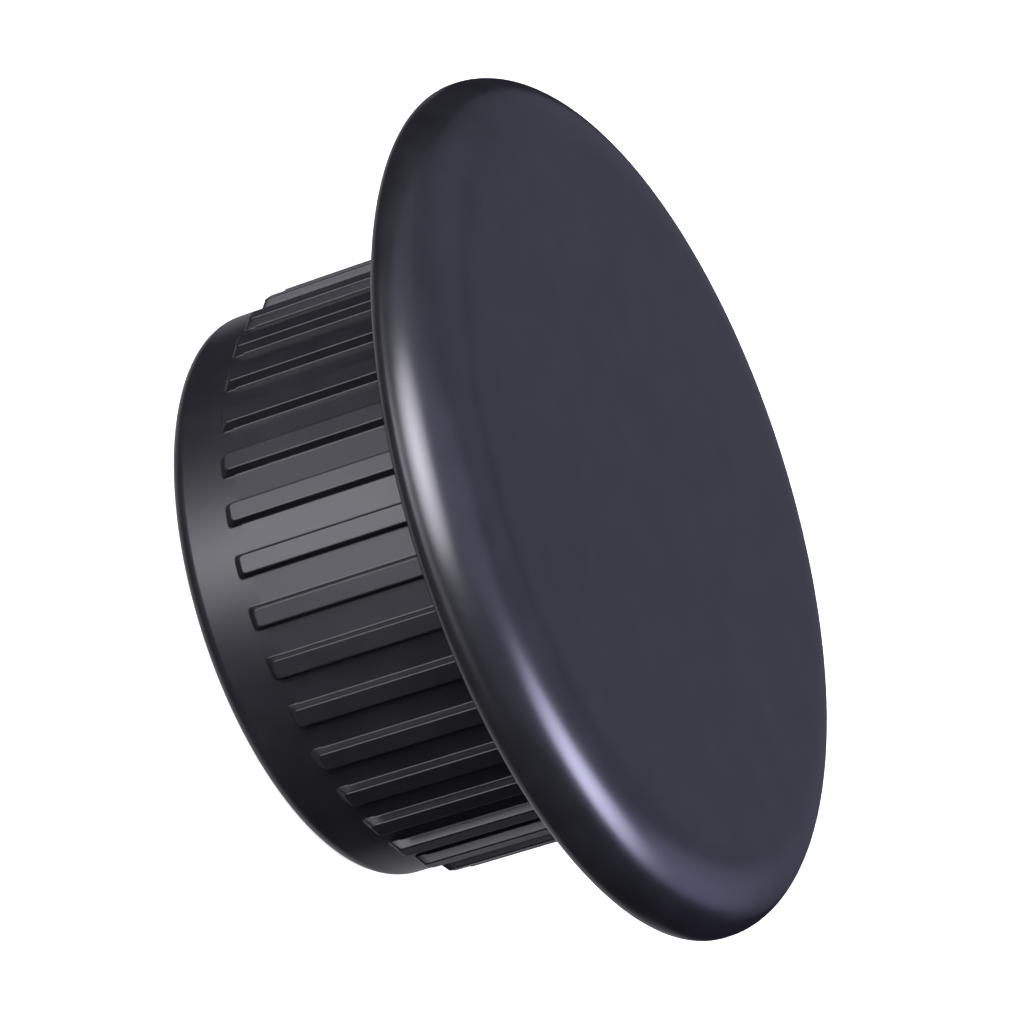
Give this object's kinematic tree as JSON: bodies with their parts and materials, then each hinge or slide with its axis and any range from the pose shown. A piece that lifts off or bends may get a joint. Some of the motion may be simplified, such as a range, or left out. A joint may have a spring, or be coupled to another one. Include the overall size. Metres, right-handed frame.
{
  "type": "tube end cap",
  "caption": "Round push-in tube end cap with a flat-faced, soft-edged head and a hollow plug with lengthwise grip ribs.",
  "frame": {"origin": "centre of the plug's open end, the lowest point of the cap as it stands", "axes": "+Z along the cap's axis, from the open end of the plug to the face of the head; the ribs are evenly spaced from +X"},
  "size_m": [0.07, 0.07, 0.0301],
  "materials": {
    "black_plastic": "satin black moulded plastic"
  },
  "bodies": {
    "root": {"end_cap": "black_plastic"}
  },
  "joints": []
}
